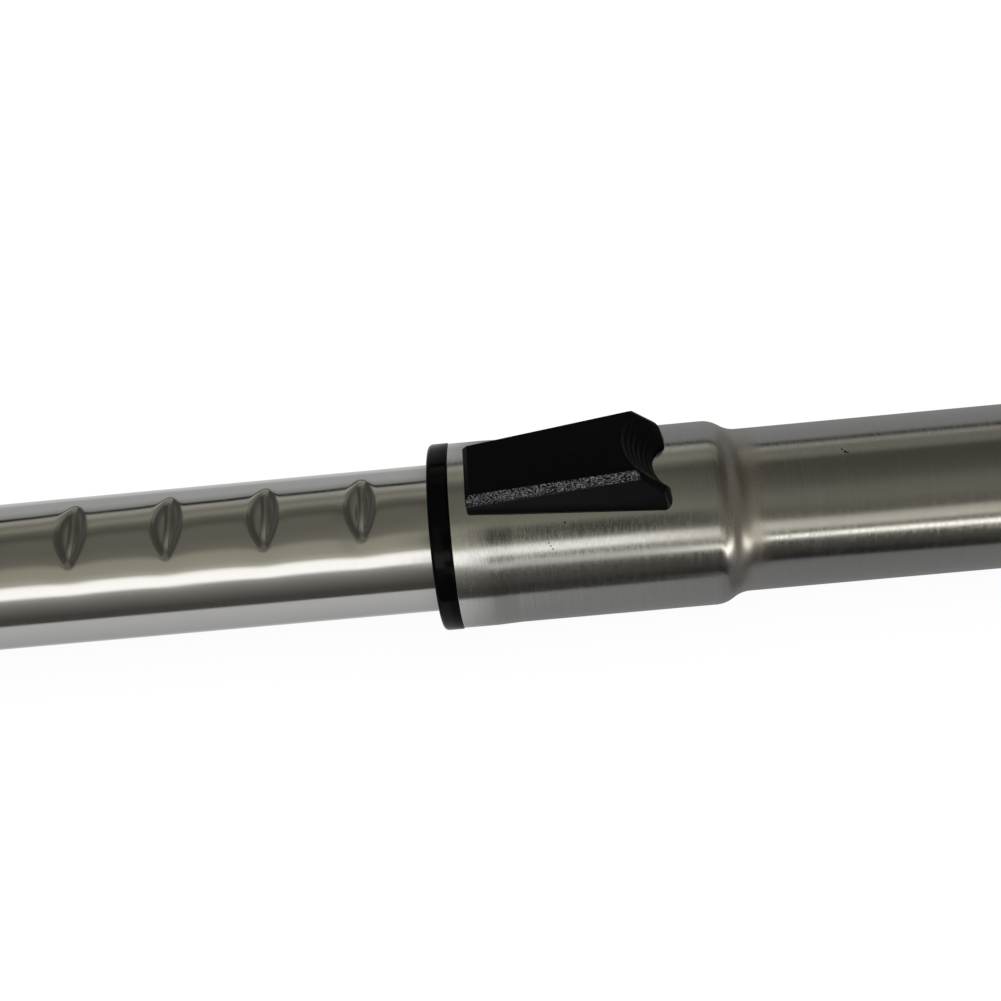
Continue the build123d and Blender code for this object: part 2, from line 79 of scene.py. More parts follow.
# The button, by distance from the mouth and height above the axis
BUTTON_FRONT = 3.85
BUTTON_REAR = 47.0
BUTTON_FOOT = 17.6
BUTTON_TOP = 24.15
BUTTON_SLOPE = 0.16
BUTTON_WALL = 1.5
BUTTON_UNDERSIDE_R = 20.3
REAR_LINE = [(46.6, 14.0), (45.8, BUTTON_FOOT), (44.4, 23.6), (38.4, 30.3), (32.0, 30.3)]
REAR_ARCS = [0, 2.4, 2.6]
REAR_CORNER_R = 2.1

# Thumb scoop, a slanted cone: height, distance of its front from the mouth, and radius
SCOOP_LOW = (19.5, 42.8, 6.5)
SCOOP_HIGH = (30.0, 35.9, 10.5)
RIBS = [28.6 - 1.55 * k for k in range(5)]
RIB_DEPTH = 0.38
RIB_HALF_WIDTH = 5.6

# Slanted hairlines in the button's top
HAIRLINES = [16.2 + 5.0 * k for k in range(4)]
HAIRLINE_Y = -1.0
HAIRLINE_LENGTH = 4.2
HAIRLINE_TURN = -36

SEGMENTS = 160


# Mesh helpers

def new_object(name, data):
    obj = bpy.data.objects.new(name, data)
    bpy.context.scene.collection.objects.link(obj)
    return obj


def mesh_object(name, points, faces, sharp=35.0):
    """Object from points in millimetres, smooth apart from edges sharper than the angle."""
    mesh = bpy.data.meshes.new(name)
    mesh.from_pydata([(x * MM, y * MM, z * MM) for x, y, z in points], [], faces)
    mesh.update()
    finish_mesh(mesh, sharp)
    return new_object(name, mesh)


def finish_mesh(mesh, sharp):
    """Turn the faces outwards and smooth them, apart from edges sharper than the angle."""
    bm = bmesh.new()
    bm.from_mesh(mesh)
    bmesh.ops.recalc_face_normals(bm, faces=bm.faces)
    bm.to_mesh(mesh)
    bm.free()
    mesh.polygons.foreach_set("use_smooth", [True] * len(mesh.polygons))
    mesh.set_sharp_from_angle(angle=math.radians(sharp))
    mesh.update()


def rounded(points, radii, steps=8):
    """Open line through the points, with an arc of the given radius at each inner corner."""
    out = [points[0]]
    for before, corner, after, radius in zip(points, points[1:], points[2:], radii):
        b, c, a = Vector(before), Vector(corner), Vector(after)
        u, v = (b - c).normalized(), (a - c).normalized()
        opening = u.angle(v)
        if radius <= 0 or opening > math.radians(179.5):
            out.append(corner)
            continue
        reach = radius / math.tan(opening / 2)
        centre = c + (u + v).normalized() * (radius / math.sin(opening / 2))
        start, end = c + u * reach - centre, c + v * reach - centre
        turn = start.angle_signed(end)
        for k in range(steps + 1):
            out.append(tuple(centre + Matrix.Rotation(-turn * k / steps, 2) @ start))
    out.append(points[-1])
    return out


def offset_line(points, distance):
    """The open line moved sideways towards the axis."""
    out = []
    for k, p in enumerate(points):
        a = Vector(points[max(k - 1, 0)])
        b = Vector(points[min(k + 1, len(points) - 1)])
        along = (b - a).normalized()
        out.append((p[0] + along.y * distance, p[1] - along.x * distance))
    return out


def revolved(name, loop):
    """Closed loop of (x, radius) turned round the wand's axis."""
    points, faces = [], []
    count = len(loop)
    for s in range(SEGMENTS):
        t = 2 * math.pi * s / SEGMENTS
        for x, r in loop:
            points.append((x, r * math.sin(t), r * math.cos(t)))
    for s in range(SEGMENTS):
        n = (s + 1) % SEGMENTS
        for k in range(count):
            m = (k + 1) % count
            faces.append((s * count + k, s * count + m, n * count + m, n * count + k))
    return mesh_object(name, points, faces)


def prism(name, outline, low, high):
    """Upright block over an outline of (x, y) points."""
    count = len(outline)
    points = [(x, y, low) for x, y in outline] + [(x, y, high) for x, y in outline]
    faces = [tuple(range(count))[::-1], tuple(range(count, 2 * count))]
    faces += [(k, (k + 1) % count, (k + 1) % count + count, k + count) for k in range(count)]
    return mesh_object(name, points, faces)


def circle(x, radius):
    """Outline of 32 points round a place on the wand's middle line."""
    turns = [k * math.pi / 16 for k in range(32)]
    return [(radius * math.cos(t) + x, radius * math.sin(t)) for t in turns]


def slot_outline(x0, x1, half, corner):
    """Rectangle between two places, of a half width, with rounded corners."""
    if corner <= 0:
        return [(x0, -half), (x1, -half), (x1, half), (x0, half)]
    out = []
    for cx, cy, a in (
        (x1 - corner, -half + corner, -90), (x1 - corner, half - corner, 0),
        (x0 + corner, half - corner, 90), (x0 + corner, -half + corner, 180),
    ):
        for k in range(7):
            t = math.radians(a + 15 * k)
            out.append((cx + corner * math.cos(t), cy + corner * math.sin(t)))
    return out


def bake_modifiers(obj):
    """Replace the object's mesh by its modified one."""
    graph = bpy.context.evaluated_depsgraph_get()
    mesh = bpy.data.meshes.new_from_object(obj.evaluated_get(graph))
    obj.modifiers.clear()
    old, obj.data = obj.data, mesh
    bpy.data.meshes.remove(old)


def cut(obj, cutters, operation="DIFFERENCE", sharp=35.0):
    """Boolean with each cutter in turn, applied; the cutters are removed."""
    for cutter in cutters:
        mod = obj.modifiers.new("cut", "BOOLEAN")
        mod.operation = operation
        mod.solver = "EXACT"
        mod.object = cutter
        bake_modifiers(obj)
        bpy.data.meshes.remove(cutter.data)
    finish_mesh(obj.data, sharp)


# Materials

class Nodes:
    """Short form for building a node tree."""

    def __init__(self, name, world=False):
        owner = bpy.data.worlds.new(name) if world else bpy.data.materials.new(name)
        owner.use_nodes = True
        self.owner = owner
        self.tree = owner.node_tree
        self.tree.nodes.clear()

    def add(self, kind, **values):
        """Node with its attributes, or else its sockets, set to the values."""
        node = self.tree.nodes.new("ShaderNode" + kind)
        for key, value in values.items():
            if hasattr(node, key):
                setattr(node, key, value)
            else:
                node.inputs[key.replace("_", " ")].default_value = value
        return node

    def link(self, a, b):
        self.tree.links.new(a, b)

    def math(self, operation, a, b=None):
        node = self.tree.nodes.new("ShaderNodeMath")
        node.operation = operation
        for socket, value in zip(node.inputs, (a, b)):
            if value is None:
                continue
            if isinstance(value, (int, float)):
                socket.default_value = value
            else:
                self.link(value, socket)
        return node.outputs[0]

    def noise(self, scale, detail=3.0, rough=0.55, distort=0.0):
        """Noise over object coordinates in metres, stretched by a scale for each axis."""
        where = self.add("TexCoord")
        stretch = self.add("VectorMath", operation="MULTIPLY")
        stretch.inputs[1].default_value = scale
        self.link(where.outputs["Object"], stretch.inputs[0])
        noise = self.add("TexNoise")
        noise.inputs["Scale"].default_value = 1.0
        noise.inputs["Detail"].default_value = detail
        noise.inputs["Roughness"].default_value = rough
        noise.inputs["Distortion"].default_value = distort
        self.link(stretch.outputs[0], noise.inputs["Vector"])
        return noise.outputs["Fac"]

    def ramp(self, value, stops):
        """Colour for a value, from stops of (place, colour or grey)."""
        node = self.add("ValToRGB")
        ramp = node.color_ramp
        while len(ramp.elements) > 1:
            ramp.elements.remove(ramp.elements[-1])
        ramp.elements[0].position = stops[0][0]
        ramp.elements[0].color = full_colour(stops[0][1])
        for place, colour in stops[1:]:
            ramp.elements.new(place).color = full_colour(colour)
        self.link(value, node.inputs["Fac"])
        return node.outputs["Color"]

    def spread(self, value, low, high, a, b):
        """Map a value from one range to another, clamped."""
        node = self.add("MapRange")
        for socket, number in zip(node.inputs[1:5], (low, high, a, b)):
            socket.default_value = number
        self.link(value, node.inputs[0])
        return node.outputs[0]

    def blend(self, factor, a, b):
        """Colour a, which goes over to colour b as the factor goes from 0 to 1."""
        node = self.add("Mix", data_type="RGBA")
        for socket, value in zip((node.inputs[0], node.inputs[6], node.inputs[7]), (factor, a, b)):
            if isinstance(value, bpy.types.NodeSocket):
                self.link(value, socket)
            else:
                socket.default_value = full_colour(value)
        return node.outputs[2]

    def shader_blend(self, factor, a, b):
        """Shader a where the factor is 0, and shader b where it is 1."""
        node = self.add("MixShader")
        for socket, value in zip(node.inputs, (factor, a, b)):
            self.link(value, socket)
        return node.outputs[0]

    def axes(self, vector):
        """Outputs X, Y and Z of a vector."""
        node = self.add("SeparateXYZ")
        self.link(vector, node.inputs[0])
        return node.outputs

    def around(self, value, share=1.0):
        """Noise moved to run evenly above and below zero, times a share."""
        return self.math("MULTIPLY", self.math("SUBTRACT", value, 0.5), share)

    def sum_of(self, a, share_a, b, share_b):
        """Two values added, each with its own share."""
        part_a = self.math("MULTIPLY", a, share_a)
        return self.math("ADD", part_a, self.math("MULTIPLY", b, share_b))

    def bump(self, height, strength, distance, after=None):
        node = self.add("Bump")
        node.inputs["Strength"].default_value = strength
        node.inputs["Distance"].default_value = distance * MM
        self.link(height, node.inputs["Height"])
        if after is not None:
            self.link(after, node.inputs["Normal"])
        return node.outputs["Normal"]

    def surface(self, **values):
        """Principled shader on the output; sockets take numbers, colours or links."""
        shader = self.add("BsdfPrincipled")
        for key, value in values.items():
            socket = shader.inputs[key.replace("_", " ")]
            if isinstance(value, bpy.types.NodeSocket):
                self.link(value, socket)
            else:
                socket.default_value = value
        out = self.add("OutputMaterial")
        self.link(shader.outputs[0], out.inputs[0])
        return self.owner


def full_colour(c):
    """Colour with alpha, from a colour or a grey."""
    return (c, c, c, 1.0) if isinstance(c, (int, float)) else (*c, 1.0)


# Small dark nicks and pale rubs on the outer tube: place, reach in millimetres, and shade
MARKS = [
    ((-496.43, -9.71, 17.31), 0.24, 0.04),
    ((-437.98, 1.05, 17.47), 0.34, 0.03),
    ((-438.45, 1.70, 17.42), 0.24, 0.03),
    ((-437.50, 0.75, 17.48), 0.24, 0.03),
    ((-500.03, -12.87, 15.12), 0.18, 0.10),
    ((-499.68, -13.35, 14.70), 0.18, 0.10),
    ((-499.34, -13.84, 14.23), 0.18, 0.10),
    ((-517.06, -18.27, 8.26), 0.20, 0.95),
    ((-516.66, -17.90, 9.0), 0.18, 0.95),
    ((-516.26, -17.52, 9.75), 0.16, 0.95),
]

# Where the outer tube was drawn down, its turned rings are gone: edges along X, in metres
DRAWN_START = (-0.4655, -0.4620)
DRAWN_END = (-0.4570, -0.4545)

# Where the eroded strips on the button's side bevels, with their pale specks of painted glint,
# end, in metres
STRIP_END = (-0.4818, -0.4808)


def brushed_steel(name, tint, rough_low, rough_high, streak, sparkle):
    """Steel turned round its axis: fine rings and short scratches, but none on its drawn step."""
    n = Nodes(name)
    rings = n.noise((2300, 40, 40), detail=5, rough=0.65)
    wide = n.noise((330, 22, 22), detail=2)
    dashes = n.noise((5200, 900, 900), detail=3, rough=0.7)
    patch = n.noise((22, 60, 60), detail=3)
    where = n.add("TexCoord").outputs["Object"]
    wobble = n.math("ADD", n.axes(where)["X"], n.around(patch, 0.004))
    drawn = n.math("MULTIPLY", n.spread(wobble, *DRAWN_START, 0.0, 1.0),
                   n.spread(wobble, *DRAWN_END, 1.0, 0.0))
    turned = n.math("SUBTRACT", 1.0, drawn)

    low = tuple(c * (1 - streak) for c in tint)
    high = tuple(min(c * (1 + streak), 1) for c in tint)
    ringed = n.ramp(n.sum_of(rings, 0.7, wide, 0.3), [(0.34, low), (0.66, high)])
    tone = n.blend(drawn, ringed, (tint[0], tint[1] * 0.95, tint[2] * 0.90))

    gloss = n.spread(n.sum_of(rings, 0.6, patch, 0.4), 0.35, 0.65, rough_low, rough_high)
    rough = n.math("ADD", gloss, n.math("MULTIPLY", drawn, 0.15))
    glint = n.spread(dashes, 0.36, 0.64, -0.045, 0.075)
    rough = n.math("ADD", rough, n.math("MULTIPLY", glint, turned))

    dash_height = n.math("MULTIPLY", n.around(dashes), turned)
    ring_height = n.math("MULTIPLY", n.around(rings), turned)
    normal = n.bump(dash_height, sparkle, 0.016)
    normal = n.bump(ring_height, sparkle * 0.6, 0.010, normal)
    normal = n.bump(patch, 0.2, 0.05, normal)

    ragged = n.around(dashes, 0.0004)
    for point, reach, shade in MARKS:
        gap = n.add("VectorMath", operation="DISTANCE")
        n.link(where, gap.inputs[0])
        gap.inputs[1].default_value = tuple(c * MM for c in point)
        gap_ragged = n.math("ADD", gap.outputs["Value"], ragged)
        spot = n.spread(gap_ragged, reach * 0.6 * MM, reach * MM, 1.0, 0.0)
        tone = n.blend(spot, tone, (shade, shade, shade * 0.9))
    return n.surface(Base_Color=tone, Metallic=1.0, Roughness=rough, Normal=normal,
                     Anisotropic=0.35)


def polished_steel(name, tint):
    """Bright drawn steel: nearly a mirror, with faint haze, drawing lines and fine scratches."""
    n = Nodes(name)
    haze = n.noise((60, 90, 90), detail=3)
    lines = n.noise((140, 2600, 2600), detail=3)
    scratch = n.noise((900, 60, 60), detail=6, rough=0.7, distort=0.6)
    colour = n.ramp(haze, [(0.3, tuple(c * 0.97 for c in tint)), (0.7, tint)])
    rough = n.spread(n.sum_of(haze, 0.5, scratch, 0.5), 0.35, 0.68, 0.075, 0.15)
    normal = n.bump(lines, 0.05, 0.004)
    normal = n.bump(haze, 0.12, 0.03, normal)
    return n.surface(Base_Color=colour, Metallic=1.0, Roughness=rough, Normal=normal)


def eroded_and_glint_strip(n):
    """Mask of the button's side bevels, which lean at 45 degrees, up to the thumb scoop: there
    they get their eroded bump and their pale specks of painted glint.
    """
    where = n.add("TexCoord")
    lean = n.axes(where.outputs["Normal"])
    side = n.math("ABSOLUTE", lean["Y"])
    mask = n.math("MULTIPLY", n.spread(side, 0.70, 0.74, 0.0, 1.0),
                  n.spread(side, 0.975, 0.985, 1.0, 0.0))
    mask = n.math("MULTIPLY", mask, n.spread(lean["Z"], 0.14, 0.18, 0.0, 1.0))
    along = n.axes(where.outputs["Object"])["X"]
    return n.math("MULTIPLY", mask, n.spread(along, *STRIP_END, 1.0, 0.0))


def moulded_plastic(name, colour, rough, grain_mm, grain_depth,
                    specular=0.5, strip=False, edge=0.0):
    """Moulded plastic with a spark-eroded grain and slight wear in its gloss.

    With strip, the side bevels carry a coarse eroded texture in their bump, and pale specks of
    painted glint in their colour; edge rounds the edges, in mm.
    """
    n = Nodes(name)
    g = 1000.0 / grain_mm
    grain = n.noise((g, g, g), detail=2, rough=0.5)
    rub = n.noise((120, 160, 160), detail=4)
    dark = tuple(c * 0.85 for c in colour)
    pale = tuple(c * 1.2 for c in colour)
    tone = n.ramp(n.sum_of(grain, 0.5, rub, 0.5), [(0.3, dark), (0.7, pale)])
    gloss = n.spread(rub, 0.35, 0.65, rough * 0.88, rough * 1.15)
    round_off = None
    if edge:
        bevel = n.add("Bevel", samples=4)
        bevel.inputs["Radius"].default_value = edge * MM
        round_off = bevel.outputs[0]
    normal = n.bump(grain, 0.6, grain_depth, round_off)
    if strip:
        mask = eroded_and_glint_strip(n)
        specks = n.noise((2700, 3300, 3300), detail=2, rough=0.6)
        # Pale specks on the side bevels: painted glint in the base colour. The eroded texture
        # itself is the bump further down.
        painted_glint = n.spread(specks, 0.47, 0.60, 0.0, 1.0)
        tone = n.blend(n.math("MULTIPLY", mask, painted_glint), tone, (0.16, 0.16, 0.17))
        gloss = n.math("ADD", gloss, n.math("MULTIPLY", mask, 0.12))
        normal = n.bump(n.math("MULTIPLY", specks, mask), 0.9, 0.10, normal)
    return n.surface(Base_Color=tone, Roughness=gloss, Normal=normal, Specular_IOR_Level=specular)


def soft_rubber(name, colour):
    """Matt rubber with a fine grain and a pale bloom."""
    n = Nodes(name)
    grain = n.noise((5000, 5000, 5000), detail=2)
    bloom = n.noise((300, 300, 300), detail=4)
    tone = n.ramp(bloom, [(0.35, colour), (0.7, tuple(c * 1.5 for c in colour))])
    return n.surface(Base_Color=tone, Roughness=n.spread(bloom, 0.3, 0.7, 0.5, 0.68),
                     Normal=n.bump(grain, 0.4, 0.02))


def felt(name, colour):
    """Pressed felt with tangled fibres."""
    n = Nodes(name)
    fibre = n.noise((1800, 3200, 3200), detail=8, rough=0.75, distort=2.0)
    dark = tuple(c * 0.6 for c in colour)
    pale = tuple(c * 1.3 for c in colour)
    tone = n.ramp(fibre, [(0.3, dark), (0.7, pale)])
    normal = n.bump(fibre, 0.9, 0.12)
    return n.surface(Base_Color=tone, Roughness=0.95, Sheen_Weight=0.4, Normal=normal)


def machined_steel(name, tint, rough):
    """Plain steel of springs and lock parts, with drawing lines and slight stains."""
    n = Nodes(name)
    lines = n.noise((700, 3000, 3000), detail=5, rough=0.6)
    stain = n.noise((260, 260, 260), detail=4)
    tone = n.ramp(stain, [(0.3, tuple(c * 0.82 for c in tint)), (0.7, tint)])
    return n.surface(Base_Color=tone, Metallic=1.0,
                     Roughness=n.spread(lines, 0.35, 0.65, rough * 0.8, rough * 1.25),
                     Normal=n.bump(lines, 0.2, 0.01))


STEEL = (0.62, 0.615, 0.605)
outer_steel = brushed_steel("steel_brushed", STEEL, 0.10, 0.17, 0.03, 0.55)
inner_steel = polished_steel("steel_polished", (0.64, 0.635, 0.625))
ring_black = moulded_plastic("plastic_ring_gloss", (0.0012, 0.0012, 0.0014), 0.10, 0.5, 0.001,
                             specular=0.10)
button_black = moulded_plastic("plastic_button", (0.0012, 0.0013, 0.0020), 0.26, 0.22, 0.006,
                               specular=0.12, strip=True, edge=0.25)
cage_grey = moulded_plastic("plastic_cage", (0.06, 0.06, 0.062), 0.42, 0.3, 0.01)
collar_white = moulded_plastic("plastic_collar", (0.62, 0.61, 0.58), 0.38, 0.3, 0.01)
rubber_black = soft_rubber("rubber_seal", (0.016, 0.016, 0.017))
felt_grey = felt("felt_seal_grey", (0.16, 0.155, 0.15))
spring_steel = machined_steel("steel_spring", (0.52, 0.51, 0.49), 0.28)
lock_steel = machined_steel("steel_lock", (0.58, 0.57, 0.54), 0.22)

NODE_MATERIALS = {
    "wiper_ring": rubber_black,
    "tail_seal": rubber_black,
    "felt_seal": felt_grey,
    "brake_spring": spring_steel,
    "return_spring_front": spring_steel,
    "return_spring_back": spring_steel,
    "lock_slide": lock_steel,
    "lock_roller": lock_steel,
    "lock_pin": lock_steel,
    "roller_cage": cage_grey,
    "collar_half_front": collar_white,
    "collar_half_back": collar_white,
}


def dress(obj, material):
    """Give the whole object one material, and leave its mesh as it is."""
    if obj.material_slots:
        for s in obj.material_slots:
            s.link = "OBJECT"
            s.material = material
    else:
        obj.data.materials.append(material)


for node, material in NODE_MATERIALS.items():
    dress(nodes[node], material)


# Inner tube: polished, with a row of pressed cross notches

def notch_height(d):
    """Height of the pressed V above the axis, at a distance along the tube from its middle."""
    flat = NOTCH_BOTTOM_R * math.sqrt(0.5)
    if abs(d) < flat:
        return NOTCH_APEX + NOTCH_BOTTOM_R * math.sqrt(2) - math.sqrt(NOTCH_BOTTOM_R**2 - d * d)
    return NOTCH_APEX + abs(d)


def smooth_min(a, b, k):
    """The smaller of two values, rounded off where they differ by less than k."""
    h = max(k - abs(a - b), 0.0) / k
    return min(a, b) - h * h * k / 4


def pressed(x, t, radius, wall):
    """Radius of the tube's surface at a place along it and an angle from the top."""
    near = min(NOTCHES, key=lambda n: abs(n - x))
    d = x - near
    r = radius - PRESS_DEPTH * math.exp(-((d / PRESS_LENGTH) ** 2) - (t / PRESS_ANGLE) ** 2)
    c = math.cos(t)
    if c < 0.7 or abs(d) > NOTCH_REACH:
        return r
    side = r * math.sin(t)
    rise = NOTCH_FLANK[0] * side * side + NOTCH_FLANK[1] * side**4
    return smooth_min(r * c, notch_height(d) - wall + rise, NOTCH_BLEND) / c


# Distances from a notch's middle at which the tube's surface has a row of points
FINE_STEPS = [0, 0.25, 0.5, 0.75, 1.0, 1.3, 1.6, 1.9, 2.15, 2.4, 2.65, 2.9, 3.15, 3.45, 3.9,
              4.6, 5.6, 7.2, 8.8]
COARSE_STEPS = [0, 0.9, 2.0, 3.0, 4.2, 7.5]


def stations(steps):
    """Places along the tube, dense at the notches."""
    out = set()
    for n in NOTCHES:
        for s in steps:
            out.update((round(n - s, 3), round(n + s, 3)))
    return sorted(out)


def inner_tube_rows(radius, steps, arc_steps):
    """Rows of (x, radius) from the lower end to the hidden end; no radius where notches are."""
    groove = LOWER_END + 45.0
    low = radius - ROLLED_DEPTH
    line = rounded(
        [(LOWER_END + 0.35, radius), (groove, radius), (groove + 1.4, low),
         (groove + 3.6, low), (groove + 5.0, radius), (groove + 12.0, radius)],
        [1.6, 1.2, 1.2, 1.6], steps=arc_steps,
    )
    return line + [(x, None) for x in stations(steps)] + [(TUBE_END - 0.3, radius)]


# Angles from the top round the tube, closer together where the notches are
ANGLES = sorted(
    [math.radians(k * 1.6) for k in range(-25, 26)]
    + [math.radians(side * (40 + k * 4)) for k in range(1, 35) for side in (-1, 1)]
    + [math.radians(180)]
)


def build_inner_tube():
    """Rows of points over the outside and back through the bore, joined to one closed skin."""
    bore = INNER_R - WALL
    lip = [(0.0, -0.3), (0.03, -0.17), (0.1, -0.07), (0.2, -0.02)]
    outer_rows = [(LOWER_END + dx, INNER_R + dr) for dx, dr in lip]
    outer_rows += inner_tube_rows(INNER_R, FINE_STEPS, 4) + [(TUBE_END, INNER_R - 0.25)]
    bore_rows = inner_tube_rows(bore, COARSE_STEPS, 2)[::-1] + [(LOWER_END + 0.05, bore + 0.1)]
    points, faces = [], []
    for rows, radius, wall in (
        (outer_rows, INNER_R, 0.0),
        (bore_rows, bore, NOTCH_WALL * 1.414 * 0.9),
    ):
        for x, fixed in rows:
            for t in ANGLES:
                r = pressed(x, t, radius, wall) if fixed is None else fixed
                points.append((x, r * math.sin(t), r * math.cos(t)))
    count = len(ANGLES)
    for start in range(0, len(points), count):
        following = (start + count) % len(points)
        for a in range(count):
            b = (a + 1) % count
            faces.append((start + a, start + b, following + b, following + a))
    return mesh_object("inner_tube_polished", points, faces, sharp=50.0)


inner_tube = build_inner_tube()
pegs = []
for side in (-1, 1):
    peg = prism("peg_cut", circle(PEG_X, PEG_R), 13.0, 18.0)
    peg.data.transform(Matrix.Rotation(side * math.pi / 2, 4, "X"))
    pegs.append(peg)
cut(inner_tube, pegs, sharp=50.0)
dress(inner_tube, inner_steel)
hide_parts("inner_tube")
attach(inner_tube, "inner")


# Outer tube: brushed, expanded at the mouth, drawn down in a soft step

# Outside of the wall between its ends, and the radius of the arc at each of its corners
WALL_LINE = [
    (MOUTH + 7.6, MOUTH_R), (MOUTH + 12.4, COLLAR_R), (MOUTH + 35.4, COLLAR_R),
    (MOUTH + 56.3, COLLAR_R), (MOUTH + 59.9, OUTER_R), (-55.0, OUTER_R),
    (-53.6, OUTER_R - ROLLED_DEPTH), (-51.4, OUTER_R - ROLLED_DEPTH), (-50.0, OUTER_R),
]
WALL_ARCS = [30, 30, 0, 6.5, 6.5, 1.6, 1.2, 1.2, 1.6]

outside = rounded(
    [(MOUTH + 0.05, MOUTH_R - 0.35), (MOUTH + 0.05, MOUTH_R)] + WALL_LINE
    + [(-0.05, OUTER_R), (-0.05, OUTER_R - 0.3)],
    [0.28] + WALL_ARCS + [0.25], steps=10,
)
inside = offset_line(rounded([(MOUTH, MOUTH_R)] + WALL_LINE + [(0.0, OUTER_R)], WALL_ARCS), WALL)
outer_tube = revolved("outer_tube_brushed", outside + inside[::-1])
window = prism("window_cut", slot_outline(*WINDOW, 6.0, 1.0), 10.0, 26.0)
cut(outer_tube, [window])
dress(outer_tube, outer_steel)
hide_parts("outer_tube")
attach(outer_tube, "outer")


# Guide sleeve, whose flange is the black ring

flange_face = rounded(
    [(FLANGE, 16.5), (FLANGE, FLANGE_R), (MOUTH - 0.06, FLANGE_R), (MOUTH - 0.06, FLANGE_R - 0.6)],
    [1.0, 0.25], steps=8,
)
sleeve_loop = flange_face + [
    (MOUTH, FLANGE_R - 0.6), (MOUTH, 19.0), (MOUTH + 52.0, 19.0), (MOUTH + 53.0, 18.0),
    (MOUTH + 53.0, 16.0), (MOUTH + 49.3, 16.0), (MOUTH + 49.3, 17.55), (MOUTH + 45.7, 17.55),
    (MOUTH + 45.7, 16.0), (MOUTH + 42.0, 16.0), (MOUTH + 42.0, 16.4), (MOUTH + 6.7, 16.4),
    (MOUTH + 6.7, 16.0), (MOUTH - 0.5, 16.0), (MOUTH - 0.5, 17.35), (MOUTH - 2.7, 17.35),
    (MOUTH - 2.7, 16.0), (FLANGE + 0.5, 16.0),
]
sleeve = revolved("guide_sleeve_black", sleeve_loop)
cut(sleeve, [
    prism("sleeve_window", slot_outline(*WINDOW, 7.2, 0), 8.35, 26.0),
    prism("brake_pocket", slot_outline(MOUTH + 17.5, MOUTH + 44.5, 4.5, 0), -18.2, -15.1),
    prism("tongue_slot", slot_outline(MOUTH + 9.0, MOUTH + 11.5, 4.35, 0), 17.8, 19.6),
])
dress(sleeve, ring_black)
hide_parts("guide_sleeve")
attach(sleeve, "outer")


# Button: wedge with eroded side bevels, a ribbed thumb scoop and rounded horns

def top_height(p):
    """Height of the button's sloping top, at a distance from the mouth."""
    return BUTTON_TOP + BUTTON_SLOPE * p


def button_section(p):
    """Corners of the wedge across the wand, at a distance from the mouth."""
    top = top_height(p)
    base = 6.75 + 0.0600 * p
    side = 6.62 + 0.0420 * p
    edge = 5.85 + 0.0324 * p
    drop = 2.45 - 0.012 * p
    return [(-base, BUTTON_FOOT), (-side, top - drop), (-edge, top),
            (edge, top), (side, top - drop), (base, BUTTON_FOOT)]


def wedge(name, start, end, wall=0.0):
    """The wedge between two distances from the mouth, or the hollow inside it."""
    points, faces = [], []
    for p in (start, end):
        for y, z in button_section(p):
            points.append((MOUTH + p, y - math.copysign(wall, y), z - (wall if z > 20 else 0)))
    for k in range(6):
        m = (k + 1) % 6
        faces.append((k, m, m + 6, k + 6))
    faces += [tuple(range(6))[::-1], tuple(range(6, 12))]
    return mesh_object(name, points, faces, 20.0)


def slice_off(obj, point, normal):
    """Cut the mesh by a plane, drop the side that the normal points to, and close it."""
    bm = bmesh.new()
    bm.from_mesh(obj.data)
    geometry = bm.verts[:] + bm.edges[:] + bm.faces[:]
    result = bmesh.ops.bisect_plane(
        bm, geom=geometry, plane_co=Vector(point) * MM, plane_no=Vector(normal), clear_outer=True)
    edges = [e for e in result["geom_cut"] if isinstance(e, bmesh.types.BMEdge)]
    bmesh.ops.contextual_create(bm, geom=edges)
    bmesh.ops.triangulate(bm, faces=[f for f in bm.faces if len(f.verts) > 4])
    bm.to_mesh(obj.data)
    bm.free()


def stacked(name, rings):
    """Solid through rings of points, one above the other, closed at both ends."""
    count = len(rings[0])
    points = [p for ring in rings for p in ring]
    faces = [tuple(range(count))[::-1], tuple(range(len(points) - count, len(points)))]
    for level in range(len(rings) - 1):
        a, b = level * count, (level + 1) * count
        faces += [(a + k, a + (k + 1) % count, b + (k + 1) % count, b + k) for k in range(count)]
    return mesh_object(name, points, faces, 30.0)


def rear_form():
    """Block whose rear rounds off the wedge's corners and slopes its horns."""
    front = MOUTH - 5.0
    rings = []
    for x, z in rounded(REAR_LINE, REAR_ARCS):
        half = 9.43 - 0.0765 * (z - BUTTON_FOOT)
        ring = [(front, -half), (MOUTH + x - 8.0, -half)]
        for sign, first in ((-1, -90), (1, 0)):
            for k in range(10):
                t = math.radians(first + 10 * k)
                ring.append((MOUTH + x - REAR_CORNER_R + REAR_CORNER_R * math.cos(t),
                             sign * (half - REAR_CORNER_R) + REAR_CORNER_R * math.sin(t)))
        ring += [(MOUTH + x - 8.0, half), (front, half)]
        rings.append([(px, py, z) for px, py in ring])
    return stacked("rear_form", rings)


def scoop_levels(ribs):
    """Heights of the scoop's rings, close together where the ribs are."""
    levels, z = [], 15.5
    while z < 32.6:
        levels.append(z)
        z += 0.11 if ribs and 21.8 < z < 29.2 else 0.8
    return levels


def scoop_form(grow=0.0, ribs=True):
    """Slanted cone that cuts the thumb scoop; its grooves leave ribs standing."""
    rings = []
    low, front_low, radius_low = SCOOP_LOW
    high, front_high, radius_high = SCOOP_HIGH
    for z in scoop_levels(ribs):
        share = (z - low) / (high - low)
        radius = radius_low + share * (radius_high - radius_low)
        centre = front_low + share * (front_high - front_low) + radius
        radius += grow
        ring = []
        for k in range(120):
            t = 2 * math.pi * k / 120
            y = radius * math.sin(t)
            pull = 0.0
            if ribs and math.cos(t) < 0:
                near = min(abs(z - r) for r in RIBS)
                fade = min(max((RIB_HALF_WIDTH - abs(y)) / 0.8, 0.0), 1.0)
                pull = max(RIB_DEPTH - near, 0.0) * fade
            x = MOUTH + centre + (radius - pull) * math.cos(t)
            ring.append((x, y * (1 - pull / radius), z))
        rings.append(ring)
    return stacked("scoop_form", rings)


